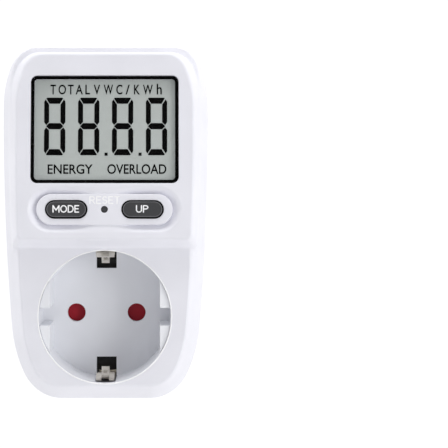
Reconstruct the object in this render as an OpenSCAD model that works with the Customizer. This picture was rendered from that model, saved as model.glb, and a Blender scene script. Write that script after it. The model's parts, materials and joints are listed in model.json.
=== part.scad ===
// Plug-in power meter: a type F pass-through adapter with a display and keys.
// +X is to the right and +Z up, seen from the front. The front faces -Y and the
// plug pins point along +Y. The origin is the centre of the plug's end face.

/* [Casing] */
// Width of the casing
body_w = 63.4; // [63:0.1:64]
// Height of the casing
body_h = 108.7; // [108.4:0.1:109]
// Height of the plug and socket axis above the bottom
axis_h = 25.9; // [25.8:0.1:26.2]
// Depth of the rear shell, from the rear face to the seam
seam_depth = 15.7; // [15.2:0.1:16]
// Depth at which the front edge bevel starts
bevel_depth = 25.8; // [25.4:0.1:26]
// Depth of the lower front face
face_depth = 34.6; // [34.6:0.1:35]
// Depth of the display panel at its top edge
panel_top_depth = 34; // [33.8:0.1:34.2]
// Depth of the display panel at its bottom edge
panel_edge_depth = 38.6; // [38.4:0.1:38.8]
// Height of the panel's top edge above the axis
panel_top_z = 80.7; // [80.5:0.1:80.8]
// Height of the panel's bottom edge above the axis
panel_edge_z = 23.5; // [23.4:0.1:23.8]
// Height of the foot of the step under the panel, above the axis
step_foot_z = 21.1; // [21:0.1:21.4]
// Thickness of the casing walls
wall = 2; // [1.8:0.1:2]
// Width of the open line between the two shells
seam_gap = 0.3; // [0.2:0.05:0.4]

/* [Outline] */
// Radius of the two top corners
corner_r = 9; // [8.6:0.1:9.2]
// Radius of the shoulders under the top corners
shoulder_r = 26.5; // [26:0.5:27.5]
// Radius of the long sides
side_r = 600; // [590:5:610]
// Radius where the sides turn in towards the bottom
blend_r = 34; // [33:0.5:35]
// Radius of the two bottom corners
bottom_r = 13.4; // [13.2:0.1:13.8]
// Half of the straight part of the bottom edge
bottom_half = 14; // [13.6:0.1:14.2]

/* [Socket] */
// Diameter of the socket recess
recess_d = 40.2; // [40:0.1:40.4]
// Depth of the socket recess
recess_depth = 17.5; // [17.4:0.1:17.8]
// Distance between the two pin axes
pin_pitch = 19; // [19:0.1:19]
// Diameter of the pin holes in the recess floor
hole_d = 5.7; // [5.5:0.1:5.8]
// Distance between the guide blocks at the sides of the recess
guide_gap = 33.6; // [33.4:0.1:33.8]
// Height of the guide blocks
guide_h = 21.9; // [21.6:0.1:22]
// Height of the notch between the guide blocks
notch_h = 5.4; // [5.2:0.1:5.6]
// Width of the earth contact slots
slot_w = 6.3; // [6.2:0.1:6.6]
// Turn of the shutter from closed to open, in degrees
shutter_turn = 40; // [40:1:42]

/* [Plug] */
// Diameter of the plug body
plug_d = 36; // [35.8:0.1:36.2]
// Length of the plug body behind the casing
plug_l = 18.7; // [18.5:0.1:19]
// Diameter of the plug pins
pin_d = 4.8; // [4.8:0.1:4.8]
// Length of the plug pins
pin_l = 19; // [18.8:0.1:19.2]

/* [Display] */
// Width of the display window
window_w = 44.9; // [44.7:0.1:45]
// Height of the display window
window_h = 32.9; // [32.7:0.1:33]
// Height of the window's centre above the axis
window_z = 57; // [56.9:0.1:57.1]
// Width of the black border of the window
border = 1.1; // [0.9:0.1:1.2]

/* [Keys] */
// Height of the keys' centre above the axis
key_z = 32.7; // [32.6:0.1:32.8]
// Distance between the centres of the two long keys
key_pitch = 23; // [22.8:0.1:23.2]
// Width of a long key
key_w = 11.9; // [11.8:0.1:12]
// Height of a long key
key_h = 4.7; // [4.6:0.1:4.8]
// Width of the open line round a long key
key_gap = 0.45; // [0.4:0.05:0.45]
// Diameter of the reset key
reset_d = 1.9; // [1.8:0.1:2]
// Travel of the keys
key_travel = 1; // [0.8:0.1:1]
// Width of the trough round the keys
trough_w = 46.3; // [46:0.1:46.6]
// Height of the trough round the keys
trough_h = 13.9; // [13.6:0.1:14]
// Width of the raised pad that holds the keys
pad_w = 41.1; // [41:0.1:41.4]
// Height of the raised pad that holds the keys
pad_h = 9.3; // [9.2:0.1:9.5]
// Depth of the trough
trough_depth = 1.3; // [1.2:0.1:1.4]

/* [Hidden] */

thin = 0.01;
fine = 64;

// The outline is a chain of arcs that meet on a common tangent, bottom to top.
bottom_a = 28;
side_a = 5.4;
shoulder_a = 0.5;
corner_a = 24.5;
function dir(a) = [cos(a), sin(a)];
bottom_c = [bottom_half, bottom_r - axis_h];
blend_c = bottom_c + (bottom_r - blend_r) * dir(-bottom_a);
side_c = blend_c + (blend_r - side_r) * dir(-side_a);
shoulder_c = side_c + (side_r - shoulder_r) * dir(shoulder_a);
corner_c = shoulder_c + (shoulder_r - corner_r) * dir(corner_a);
fit_x = body_w / 2 / (side_c[0] + side_r);
fit_z = body_h / (corner_c[1] + corner_r + axis_h);

// Edge profile: how far the outline is drawn in on the faces
face_in = 4.4;
panel_in = 2.2;
panel_squeeze = 2.5;
strip_depth = 3.1;
strip_in = 1.5;
strip_squeeze = 1.7;
rear_in = 3;
rear_rise = 0.65;
rear_chamfer = 3.8;

rear_y = -plug_l;
seam_y = rear_y - seam_depth;
face_y = rear_y - face_depth;
inner_rear_y = rear_y - wall;
inner_face_y = face_y + wall;
recess_r = recess_d / 2;
floor_y = face_y + recess_depth;
floor_t = 2;
floor_back_y = floor_y + floor_t;
pin_x = pin_pitch / 2;

step_slope = (panel_edge_z - step_foot_z) / (panel_edge_depth - face_depth);
step_root_z = step_foot_z - (face_depth - bevel_depth) * step_slope;
panel_rise = panel_top_z - panel_edge_z;
panel_tilt = atan((panel_edge_depth - panel_top_depth) / panel_rise);
panel_y = rear_y - panel_top_depth - (panel_top_z - window_z) * tan(panel_tilt);
key_up = (key_z - window_z) / cos(panel_tilt);

// Socket insert, shutter and contacts, from the recess floor to the rear
insert_r = 22;
pocket_z = 23.2;
pocket_in_z = 22;
slot_z = 14;
rotor_y = floor_back_y + 0.3;
rotor_t = 1.6;
cover_y = rotor_y + rotor_t + 0.3;
cover_t = 1.2;
pivot_r = 1.5;
lobe_r = 3.4;
carrier_y = -30.2;
carrier_end_y = -26;
contact_y = -30;
contact_end_y = -19.2;
bar_x = pin_x + 3;
bar_t = 0.6;
strap_gap = 0.8;
tab_y = -25.8;
tab_top_z = 29;
tail_y = -13.4;
web_y = -25.4;
web_t = 0.8;

// Plug insert
flange_r = 18.9;
flange_y = -22.4;
cavity_r = 15;
plug_wall = 9;
flat_x = 16.3;
flat_h = 10.6;
rib_h = 2.3;
land_x = 8.6;
channel_x = 3;
channel_z = 16.4;
strap_z = 16.6;
strap_t = 0.8;
strap_x = 2.8;

// Earth clips: a path in depth and height, the lowest point is pushed out by the plug
clip_root = [-36.8, 20.3];
clip_path = [clip_root, [-40.5, 18.4], [-44.5, 16], [-47.2, 17.9], [-49.2, 19.2]];
clip_t = 0.6;

// Boards, measured from the panel face inwards and from the rear face forwards
glass_in = 2.1;
glass_t = 1.1;
board_in = 7.4;
board_t = 1.2;
board_back = board_in + board_t;
power_y = -25.2;
wire_z = 50.3;
wire_y = panel_y + board_back / cos(panel_tilt) + (wire_z - window_z) * tan(panel_tilt) + 0.1;
power_t = 1.6;
screw_r = 1.3;
screw_spots = [[24.6, 70], [23.3, 14]];
board_spots = [[23.6, -20.6]];
stand_spots = [[23, 30], [23, 60]];

// ---- helpers ----

// Depth measured from the rear face, as a place on Y
function deep(d) = rear_y - d;

function arc(c, r, from, to, n, first) =
    [for (i = [first:n]) c + r * dir(from + (to - from) * i / n)];

// The right half of the outline drawn in by e, from the top down
function half_outline(e) = concat(
    arc(corner_c, corner_r - e, 90, corner_a, 6, 0),
    arc(shoulder_c, shoulder_r - e, corner_a, shoulder_a, 5, 1),
    arc(side_c, side_r - e, shoulder_a, -side_a, 8, 1),
    arc(blend_c, blend_r - e, -side_a, -bottom_a, 4, 1),
    arc(bottom_c, bottom_r - e, -bottom_a, -90, 6, 1));

function placed(p, squeeze) = [p[0] * fit_x - squeeze, (p[1] + axis_h) * fit_z - axis_h];

function outline(e, squeeze) =
    let (right = [for (p = half_outline(e)) placed(p, squeeze)], n = len(right))
    concat(right, [for (i = [n - 1:-1:0]) [-right[i][0], right[i][1]]]);

// A thick slice of a shape drawn in X and Z, from y0 to y1
module slab(y0, y1) translate([0, y1, 0]) rotate([90, 0, 0]) linear_extrude(y1 - y0) children();

// A round bar along Y
module rod(r, y0, y1, x = 0, z = 0) translate([x, y0, z]) rotate([-90, 0, 0])
    cylinder(r = r, h = y1 - y0, $fn = fine);

// A box given by its lowest and highest corners
module block(low, high) translate(low) cube(high - low);

// A shape drawn in Y and Z, extruded along X about the middle
module across(w) rotate([90, 0, 90]) linear_extrude(w, center = true) children();

// Both the right and the left copy
module both() {
    children();
    mirror([1, 0, 0]) children();
}

// The display panel's own frame: Y goes into the casing, Z goes up the panel
module on_panel() translate([0, panel_y, window_z]) rotate([-panel_tilt, 0, 0]) children();

module pill(w, h) {
    square([w - h, h], center = true);
    for (x = [-1, 1]) translate([x * (w - h) / 2, 0]) circle(d = h, $fn = fine);
}

module rounded(w, h, r) {
    square([w - 2 * r, h], center = true);
    square([w, h - 2 * r], center = true);
    for (x = [-1, 1], z = [-1, 1])
        translate([x * (w / 2 - r), z * (h / 2 - r)]) circle(r = r, $fn = fine);
}

module slice(e, squeeze = 0, low = -60, high = 100) intersection() {
    polygon(outline(e, squeeze));
    translate([-60, low]) square([120, high - low]);
}

// A band inside the outline, from e to the tongue's inner edge
module ring(e) difference() {
    slice(e);
    slice(wall + 1.1);
}

// How far the panel's edges are drawn in at a depth d under the panel face
function panel_e(d) = panel_in + (strip_in - panel_in) * d / strip_depth;
function panel_s(d) = panel_squeeze + (strip_squeeze - panel_squeeze) * d / strip_depth;

// The front half of the casing as one solid, drawn in by w on every side
module front_body(w) {
    reach = face_depth - w - bevel_depth;
    hull() {
        slab(deep(bevel_depth), seam_y + (w > 0 ? 1 : -seam_gap / 2)) slice(w);
        slab(deep(face_depth - w), deep(face_depth - w) + thin)
            slice(w + face_in * reach / (face_depth - bevel_depth), high = window_z);
    }
    hull() {
        slab(deep(bevel_depth), deep(bevel_depth) + thin) slice(w, 0, step_root_z + w);
        on_panel() {
            slab(strip_depth, strip_depth + thin) translate([0, -window_z])
                slice(w + strip_in, strip_squeeze, panel_edge_z + w - 1.5);
            slab(w, w + thin) translate([0, -window_z])
                slice(w + panel_e(w), panel_s(w), panel_edge_z + w);
        }
    }
}

// The rear half of the casing as one solid, drawn in by w on every side
module rear_body(w) hull() {
    slab(seam_y + (w > 0 ? -1 : seam_gap / 2), deep(rear_chamfer)) slice(w);
    slab(rear_y - w - thin, rear_y - w) translate([0, rear_rise])
        slice(w + rear_in * (rear_chamfer - w) / rear_chamfer);
}

module at_spots(spots) both() for (s = spots) translate([s[0], 0, s[1]]) children();

// ---- casing ----

module front_shell() color("white") difference() {
    union() {
        difference() {
            front_body(0);
            front_body(wall);
        }
        at_spots(screw_spots) {
            rod(2.4, deep(24.8), seam_y - 0.5);
            block([0, deep(24.8), -0.8], [5.4, seam_y - 0.5, 0.8]);
        }
        on_panel() at_spots(board_spots) rod(1.8, wall - 0.2, board_in - 0.02);
    }
    rod(recess_r, face_y - 1, deep(18));
    at_spots(screw_spots) rod(screw_r, deep(24.4), seam_y + 1);
    on_panel() {
        slab(-1, 1.1) rounded(window_w, window_h, 2);
        slab(-1, wall + 1) rounded(window_w - 2 * border, window_h - 2 * border, 1);
        translate([0, 0, key_up]) {
            slab(-1, trough_depth) difference() {
                pill(trough_w, trough_h);
                pill(pad_w, pad_h);
            }
            both() translate([key_pitch / 2, 0, 0])
                slab(-1, wall + 1) pill(key_w + 2 * key_gap, key_h + 2 * key_gap);
            rod(reset_d / 2 + 0.1, -1, wall + 1);
        }
        at_spots(board_spots) rod(0.8, 3.2, board_in + 1);
    }
}

module rear_shell() color("white") difference() {
    union() {
        difference() {
            rear_body(0);
            rear_body(wall);
        }
        // Tongue that locates the front shell
        difference() {
            union() {
                slab(seam_y - 1.6, seam_y + 0.5) ring(wall + 0.1);
                slab(seam_y + 0.4, seam_y + 2) ring(wall - 0.1);
            }
            at_spots(screw_spots) block([-3, seam_y - 2, -3.4], [8, seam_y, 3.4]);
            block([-5, seam_y - 2, 2.05 - axis_h], [5, seam_y + 1, -20]);
        }
        intersection() {
            at_spots(screw_spots) rod(3.4, seam_y - 0.3, rear_y - 0.5);
            rear_body(0);
        }
        at_spots(stand_spots) rod(2, power_y + power_t, inner_rear_y + 0.1);
    }
    rod(plug_d / 2 + 0.1, inner_rear_y - 1, rear_y + 1);
    at_spots(screw_spots) {
        rod(2.6, rear_y - 3, rear_y + 1);
        rod(screw_r + 0.15, seam_y - 3, rear_y);
    }
    at_spots(stand_spots) rod(0.8, power_y, inner_rear_y + 1);
}

module casing_screws() color("silver") at_spots(screw_spots) difference() {
    union() {
        rod(2.4, rear_y - 3, rear_y - 1.3);
        rod(screw_r, deep(22), rear_y - 2.9);
    }
    rod(1, rear_y - 2.2, rear_y, $fn = 6);
}

// ---- socket ----

module socket_insert() color("whitesmoke") difference() {
    union() {
        intersection() {
            union() {
                rod(insert_r, inner_face_y + 0.1, floor_back_y);
                for (s = [0, 1]) mirror([0, 0, s]) block(
                    [-slot_w / 2 - 1.2, inner_face_y + 0.1, slot_z],
                    [slot_w / 2 + 1.2, floor_back_y, pocket_z]);
            }
            front_body(wall + 0.1);
        }
        // Guide blocks reach forward through the hole in the front shell
        intersection() {
            union() {
                rod(recess_r - 0.1, face_y + 0.8, floor_y + 0.5);
                rod(recess_r + 0.5, inner_face_y + 0.1, floor_y + 0.5);
            }
            both() for (s = [0, 1]) mirror([0, 0, s]) block(
                [guide_gap / 2, face_y, notch_h / 2],
                [recess_r + 1, floor_y + 0.5, guide_h / 2]);
        }
    }
    difference() {
        rod(recess_r, face_y - 1, floor_y);
        both() for (s = [0, 1]) mirror([0, 0, s]) block(
            [guide_gap / 2, face_y, notch_h / 2],
            [recess_r + 1, floor_y + 1, guide_h / 2]);
    }
    for (s = [0, 1]) mirror([0, 0, s]) {
        block([-slot_w / 2, face_y + 2.4, slot_z + 4], [slot_w / 2, floor_back_y + 1, pocket_in_z]);
        block([-slot_w / 2, floor_y - 1, slot_z], [slot_w / 2, floor_back_y + 1, pocket_in_z]);
    }
    both() rod(hole_d / 2, floor_y - 1, floor_back_y + 1, pin_x);
    rod(pivot_r, floor_back_y - 1, floor_back_y + 1);
}

module shutter_rotor() color("firebrick") difference() {
    slab(rotor_y, rotor_y + rotor_t) {
        square([pin_pitch, 5.2], center = true);
        circle(r = 5.2, $fn = fine);
        for (s = [-1, 1]) translate([s * pin_x, 0]) circle(r = lobe_r, $fn = fine);
    }
    rod(pivot_r + 0.06, rotor_y - 1, rotor_y + rotor_t + 1);
    rod(4.2, rotor_y + 0.7, rotor_y + rotor_t + 1);
}

module shutter_pivot() color("silver") rod(pivot_r, floor_back_y - 1, cover_y + cover_t);

module shutter_spring() color("gray") {
    for (i = [0, 1]) translate([0, rotor_y + 1.1 + 0.5 * i, 0]) rotate([90, 0, 0])
        rotate_extrude($fn = fine) translate([2.6, 0]) circle(r = 0.28, $fn = 24);
    for (i = [0, 1]) mirror([i, 0, 0]) translate([2.6, rotor_y + 1.1 + 0.5 * i, 0])
        rotate([0, 90, 0]) cylinder(r = 0.26, h = 1.2, $fn = 24);
}

module shutter_cover() color("lightgray") difference() {
    rod(17, cover_y, cover_y + cover_t);
    both() rod(3, cover_y - 1, cover_y + cover_t + 1, pin_x);
    rod(4.2, cover_y - 1, cover_y + 0.5);
    rod(pivot_r, cover_y - 1, cover_y + cover_t + 1);
}

// ---- contacts ----

// A slit tube that grips a plug pin
module contact_tube() difference() {
    rod(3.1, contact_y, contact_end_y, pin_x);
    rod(2.5, contact_y - 1, contact_end_y + 1, pin_x);
    block([pin_x - 4, contact_y - 1, -0.6], [pin_x, contact_end_y + 1, 0.6]);
}

// The flat strip outside a contact tube, from y0 to y1
module bar_strip(y0, y1) block([bar_x, y0, -2.5], [bar_x + bar_t, y1, 2.5]);

// The upright tab that is soldered to the power board, with its face at y0
module board_tab(y0) block([bar_x, y0, -2.5], [bar_x + 3, y0 + bar_t, tab_top_z]);

// The foot riveted on a plug pin, out to x
module pin_foot(x) difference() {
    block([pin_x - 2.5, tail_y, -2.5], [x, tail_y + bar_t, 2.5]);
    rod(1.4, tail_y - 1, tail_y + 1, pin_x);
}

module live_contact_bar() color("goldenrod") {
    contact_tube();
    bar_strip(contact_y, tail_y + bar_t);
    board_tab(tab_y);
    pin_foot(bar_x + bar_t);
}

module neutral_contact() color("goldenrod") mirror([1, 0, 0]) {
    contact_tube();
    bar_strip(contact_y, tab_y + bar_t);
    board_tab(tab_y);
}

// Clear of the neutral contact, so that all the current goes through the shunt
module neutral_strap() color("goldenrod") mirror([1, 0, 0]) {
    translate([strap_gap, 0, 0]) {
        bar_strip(power_y + power_t, tail_y + bar_t);
        board_tab(power_y + power_t);
    }
    pin_foot(bar_x + strap_gap + bar_t);
}

module current_shunt() color("darkgoldenrod") {
    for (x = [-17, -8]) rod(0.7, -29, power_y, x, 31);
    translate([-17.7, -29, 31]) rotate([0, 90, 0]) cylinder(r = 0.7, h = 10.4, $fn = fine);
}

module pin(side) color("khaki") translate([side * pin_x, 0, 0]) {
    rod(2.8, tail_y + bar_t, 0);
    rod(pin_d / 2, -1, pin_l - pin_d / 2 + 0.4);
    intersection() {
        translate([0, pin_l - pin_d / 2 - 0.6, 0]) sphere(r = 3, $fn = fine);
        rod(pin_d / 2, pin_l - 4, pin_l);
    }
    rod(1.4, tail_y - 0.6, tail_y + 1);
    rod(1.9, tail_y - 0.6, tail_y);
}

module pin_live() pin(1);

module pin_neutral() pin(-1);

module plug_earth_strap() color("gold") {
    block([-strap_x, web_y + web_t, -strap_z - strap_t], [strap_x, web_y + 2 * web_t, strap_z + strap_t]);
    for (s = [0, 1]) mirror([0, 0, s])
        block([-strap_x, web_y + web_t, strap_z], [strap_x, -2, strap_z + strap_t]);
}

module earth_bridge() color("silver") {
    leg_z = clip_root[1] - 0.3;
    block([-strap_x, web_y, -leg_z - clip_t], [strap_x, web_y + web_t, leg_z + clip_t]);
    for (s = [0, 1]) mirror([0, 0, s])
        block([-strap_x, clip_root[0] + 0.3, leg_z], [strap_x, web_y + web_t, leg_z + clip_t]);
}

// A strip that follows part of the clip's path
module clip_strip(w, path) across(w) polygon(concat(path,
    [for (i = [len(path) - 1:-1:0]) path[i] + [0, clip_t]]));

module earth_clip() difference() {
    union() {
        clip_strip(2.4, clip_path);
        clip_strip(5.6, [clip_path[3], clip_path[4]]);
        clip_strip(5.4, [clip_path[0], clip_path[1]]);
    }
    // Holes that make the spring softer, then the gap between its two ears
    block([-0.65, -47, 10], [0.65, -45.9, 30]);
    block([-0.65, -44, 10], [0.65, -41, 30]);
    block([-1.2, -50, 10], [1.2, -47.9, 30]);
}

module earth_clip_top() color("silver") earth_clip();

module earth_clip_bottom() color("silver") mirror([0, 0, 1]) earth_clip();

module contact_carrier() color("lightgray") difference() {
    union() {
        rod(19, carrier_y, carrier_end_y);
        both() rod(1.5, carrier_end_y - 1, flange_y, 16.9, -7);
    }
    both() block([5.6, carrier_y - 1, -4.2], [15.8, carrier_end_y + 0.5, 4.2]);
    rod(2, carrier_y - 1, carrier_end_y + 1);
}

// ---- plug ----

module plug_insert() color("white") difference() {
    union() {
        rotate([-90, 0, 0]) rotate_extrude($fn = fine) polygon([[0, flange_y],
            [plug_d / 2, flange_y], [plug_d / 2, -0.7], [plug_d / 2 - 0.7, 0], [0, 0]]);
        rod(flange_r, flange_y, inner_rear_y - 0.05);
    }
    rod(cavity_r, flange_y - 1, -plug_wall);
    // Flats at the sides with a rib along the middle
    both() for (s = [0, 1]) mirror([0, 0, s])
        block([flat_x, rear_y + 0.01, rib_h], [plug_d, 1, flat_h]);
    // Land round each earth channel, a little lower than the body
    for (s = [0, 1]) mirror([0, 0, s]) {
        difference() {
            block([-land_x, rear_y + 0.01, 15], [land_x, 1, plug_d]);
            rod(plug_d / 2 - 0.25, rear_y - 1, -0.7);
        }
        block([-channel_x, flange_y - 1, channel_z], [channel_x, 1, plug_d]);
    }
    both() rod(2.8, -plug_wall - 1, 1, pin_x);
}

// ---- display ----

module display_window() color([0.9, 0.95, 0.95, 0.4]) on_panel()
    slab(0.1, 0.9) rounded(window_w - 0.2, window_h - 0.2, 1.9);

module window_mask() color("black") on_panel() slab(0.9, 1.1) difference() {
    rounded(window_w - 0.2, window_h - 0.2, 1.9);
    rounded(window_w - 2 * border, window_h - 2 * border, 1);
}

// A pane of glass between two heights on the panel, from depth d
module pane(low, high, d, t) on_panel() block([-22.4, d, low], [22.4, d + t, high]);

module lcd_front_glass() color([0.62, 0.66, 0.64, 0.6]) pane(-17, 19.4, glass_in, glass_t);

module lcd_rear_glass() color([0.62, 0.66, 0.64, 0.6]) pane(-17, 17, glass_in + glass_t, glass_t);

module lcd_reflector() color("silver") pane(-16.8, 16.8, glass_in + 2 * glass_t, 0.2);

module lcd_holder() color("ivory") on_panel() difference() {
    translate([0, 0, 1]) slab(wall + 0.05, board_in) rounded(48.6, 39, 4);
    block([-22.5, wall - 1, -17.1], [22.5, glass_in + 2 * glass_t + 0.3, 19.5]);
    block([-21.4, wall, -15.6], [21.4, board_in + 1, 15.6]);
    block([-22.5, wall, 17.3], [22.5, board_in + 1, 19.3]);
}

module zebra_strip() color("dimgray") on_panel()
    block([-21, glass_in + glass_t, 17.4], [21, board_in, 19.2]);

module display_board() color("darkgreen") on_panel() difference() {
    block([-26, board_in, -30], [26, board_back, 21.1]);
    at_spots(board_spots) rod(1.1, board_in - 1, board_back + 1);
}

module chip_blob() color("black") on_panel() intersection() {
    translate([6, board_back - 4.2, -6]) sphere(r = 6, $fn = fine);
    rod(6, board_back, board_back + 3, 6, -6);
}

module clock_crystal() color("silver") on_panel() {
    translate([-4, board_back + 1.1, -14]) rotate([0, 90, 0]) cylinder(r = 1.1, h = 6, $fn = fine);
    for (z = [-0.5, 0.5]) translate([1.9, board_back + 0.3, -14 + z])
        rotate([0, 90, 0]) cylinder(r = 0.2, h = 2.4, $fn = 24);
    for (z = [-0.5, 0.5]) translate([2, board_back + 0.3, -14 + z - 0.15]) cube([0.3, 1, 0.3]);
}

module display_resistors() color("black") on_panel()
    for (i = [0:3], j = [0, 1])
        translate([9 + 3 * i, board_back, -20 + 5 * j]) cube([1.25, 0.5, 2]);

// ---- keys ----

// A key cap with the flange that keeps it in the panel; top is how far it stands proud
module key_cap(w, h, proud) {
    slab(-proud, wall + 0.3) pill(w, h);
    slab(wall + 0.2, wall + 1.2) pill(w + 2.2, h + 2.2);
}

module button_mode() color("dimgray") on_panel()
    translate([-key_pitch / 2, 0, key_up]) key_cap(key_w, key_h, 0.5);

module button_up() color("dimgray") on_panel()
    translate([key_pitch / 2, 0, key_up]) key_cap(key_w, key_h, 0.5);

module reset_button() color("dimgray") on_panel() translate([0, 0, key_up]) {
    rod(reset_d / 2, 0.25, wall + 0.3);
    rod(reset_d / 2 + 0.8, wall + 0.2, wall + 1.2);
}

dome_r = 3;
dome_x = [-key_pitch / 2, 0, key_pitch / 2];
function dome_at(x) = x == 0 ? 1.6 : dome_r;

module keypad_mat() color("silver") on_panel() translate([0, 0, key_up]) difference() {
    union() {
        slab(board_in - 1, board_in) rounded(38, 9.6, 1.5);
        for (x = dome_x) translate([x, wall + 1.22, 0]) rotate([-90, 0, 0])
            cylinder(r1 = dome_at(x) - 0.4, r2 = dome_at(x) + 0.6, h = board_in - wall - 1.7, $fn = fine);
    }
    for (x = dome_x) rod(dome_at(x) - 0.7, wall + 3, board_in + 1, x);
}

module carbon_pads() color("black") on_panel() translate([0, 0, key_up])
    for (x = dome_x) rod(dome_at(x) - 0.8, wall + 3, wall + 3.5, x);

// ---- power supply and metering ----

module backup_cell() color("green") on_panel() rod(5.8, board_back + 0.4, board_back + 5.8, -14, 6);

module cell_tabs() color("silver") on_panel() {
    block([-16, board_back, 4], [-3, board_back + 0.4, 8]);
    block([-26, board_back + 5.8, 4], [-12, board_back + 6.1, 8]);
    block([-26, board_back, 4], [-25.6, board_back + 6.1, 8]);
}

module power_board() color("peru") difference() {
    block([-26, power_y, 25], [26, power_y + power_t, 65]);
    at_spots(stand_spots) rod(1.1, power_y - 1, power_y + power_t + 1);
}

module film_capacitor() color("gold") block([-24, power_y - 11, 49], [-6, power_y, 57]);

module smoothing_capacitor() color("navy") union() {
    rod(4, power_y - 11, power_y - 0.4, 3, 57);
    rod(3.7, power_y - 0.5, power_y, 3, 57);
}

module varistor() color("royalblue") {
    translate([12, power_y - 6, 57]) rotate([0, 90, 0]) cylinder(r = 4.6, h = 3.6, $fn = fine);
    for (s = [-2, 2]) rod(0.4, power_y - 6, power_y, 13.8, 57 + s);
}

module fuse_resistor() color("burlywood") {
    translate([-18, power_y - 2.2, 44]) rotate([0, 90, 0]) cylinder(r = 1.9, h = 9, $fn = fine);
    translate([-20, power_y - 2.2, 44]) rotate([0, 90, 0]) cylinder(r = 0.35, h = 13, $fn = 24);
    for (x = [-20, -7]) rod(0.35, power_y - 2.5, power_y, x, 44);
}

module rectifier_diodes() color("black") for (x = [0, 4.5, 9, 13.5]) translate([x, 0, 0]) {
    translate([0, power_y - 1.5, 41]) cylinder(r = 1.35, h = 5, $fn = fine);
    translate([0, power_y - 1.5, 39]) cylinder(r = 0.35, h = 9, $fn = 24);
    for (z = [39, 48]) rod(0.35, power_y - 1.8, power_y, 0, z);
}

module metering_chip() color("black") {
    block([-5, power_y - 1.75, 30], [5, power_y - 0.2, 34]);
    for (i = [0:7], z = [29.1, 34]) translate([-4.65 + 1.27 * i, power_y - 0.9, z])
        cube([0.42, 0.9, 0.9]);
}

module board_wires() color("red") for (i = [0:4])
    rod(0.55, wire_y, power_y, 15 + 1.6 * i, wire_z);

// ---- screws on the boards ----

module small_screw() difference() {
    union() {
        rod(1.75, 0, 1);
        rod(0.8, -3.6, 0.1);
    }
    block([-2, 0.6, -0.25], [2, 2, 0.25]);
}

module board_screws() color("silver") {
    on_panel() at_spots(board_spots) translate([0, board_back, 0]) small_screw();
    at_spots(stand_spots) mirror([0, 1, 0]) translate([0, -power_y, 0]) small_screw();
}

front_shell();
rear_shell();
socket_insert();
plug_insert();
pin_live();
pin_neutral();
live_contact_bar();
neutral_contact();
neutral_strap();
current_shunt();
plug_earth_strap();
earth_bridge();
earth_clip_top();
earth_clip_bottom();
shutter_rotor();
shutter_pivot();
shutter_spring();
shutter_cover();
contact_carrier();
display_window();
window_mask();
lcd_front_glass();
lcd_rear_glass();
lcd_reflector();
lcd_holder();
zebra_strip();
display_board();
chip_blob();
clock_crystal();
display_resistors();
button_mode();
button_up();
reset_button();
keypad_mat();
carbon_pads();
backup_cell();
cell_tabs();
power_board();
film_capacitor();
smoothing_capacitor();
varistor();
fuse_resistor();
rectifier_diodes();
metering_chip();
board_wires();
casing_screws();
board_screws();
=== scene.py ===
"""Looks of a plug-in power meter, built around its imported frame."""

import json
import math

import bmesh
import bpy
import numpy as np
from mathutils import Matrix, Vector
from mathutils.geometry import delaunay_2d_cdt


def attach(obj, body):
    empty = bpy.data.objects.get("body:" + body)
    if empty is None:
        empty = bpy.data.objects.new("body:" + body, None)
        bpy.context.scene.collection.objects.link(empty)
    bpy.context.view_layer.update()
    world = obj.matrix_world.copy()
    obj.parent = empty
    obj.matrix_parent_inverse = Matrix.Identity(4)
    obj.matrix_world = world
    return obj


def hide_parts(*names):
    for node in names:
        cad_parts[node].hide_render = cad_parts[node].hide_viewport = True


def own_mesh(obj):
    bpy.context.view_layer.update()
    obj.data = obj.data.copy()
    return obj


MM = 0.001
SCENE = bpy.context.scene

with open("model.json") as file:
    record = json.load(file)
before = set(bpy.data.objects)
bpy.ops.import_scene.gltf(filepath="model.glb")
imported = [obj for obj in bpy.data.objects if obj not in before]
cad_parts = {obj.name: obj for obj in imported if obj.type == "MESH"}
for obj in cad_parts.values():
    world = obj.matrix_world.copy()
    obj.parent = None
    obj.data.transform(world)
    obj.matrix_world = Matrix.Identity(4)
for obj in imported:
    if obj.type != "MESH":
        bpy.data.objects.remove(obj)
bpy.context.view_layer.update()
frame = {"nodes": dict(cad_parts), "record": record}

# ---- camera ----
# Level and 0.4 m in front. The shift puts the meter where the photograph has its front view

camera = bpy.data.objects.new("camera", bpy.data.cameras.new("camera"))
SCENE.collection.objects.link(camera)
camera.location = (14 * MM, -453.3 * MM, 34 * MM)
camera.rotation_euler = (math.pi / 2, 0, 0)
camera.data.lens = 105.9
camera.data.sensor_width = 36
camera.data.shift_x = 0.1633
camera.data.shift_y = -0.0424
camera.data.clip_start = 0.01
camera.data.clip_end = 50
SCENE.camera = camera

# ---- sizes, in millimetres, as the frame has them ----
# Depths are from the rear face. Places in Z are from the socket's axis, AXIS_H above the bottom

BODY_W, BODY_H, AXIS_H = 63.39, 108.7, 25.9
REAR_Y = -18.7
SEAM_DEPTH, SEAM_GAP = 15.7, 0.3
BEVEL_DEPTH, FACE_DEPTH = 25.8, 34.6
FACE_IN = 4.4
PANEL_TOP_DEPTH, PANEL_EDGE_DEPTH = 34, 38.6
PANEL_TOP_Z, PANEL_EDGE_Z, STEP_FOOT_Z = 80.7, 23.5, 21.1
WINDOW_W, WINDOW_H, WINDOW_Z, BORDER = 44.9, 32.9, 57, 1.1
TILT = math.atan((PANEL_EDGE_DEPTH - PANEL_TOP_DEPTH) / (PANEL_TOP_Z - PANEL_EDGE_Z))
PANEL_Y = REAR_Y - PANEL_TOP_DEPTH - (PANEL_TOP_Z - WINDOW_Z) * math.tan(TILT)
KEY_UP = (32.7 - WINDOW_Z) / math.cos(TILT)
KEY_PITCH, KEY_W, KEY_H, KEY_GAP = 23, 11.9, 4.7, 0.45
RECESS_R = 20.1
PLUG_R = 18
PIN_X, PIN_R, PIN_ROOT_R, PIN_END_Y = 9.5, 2.4, 2.8, 16.7
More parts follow.
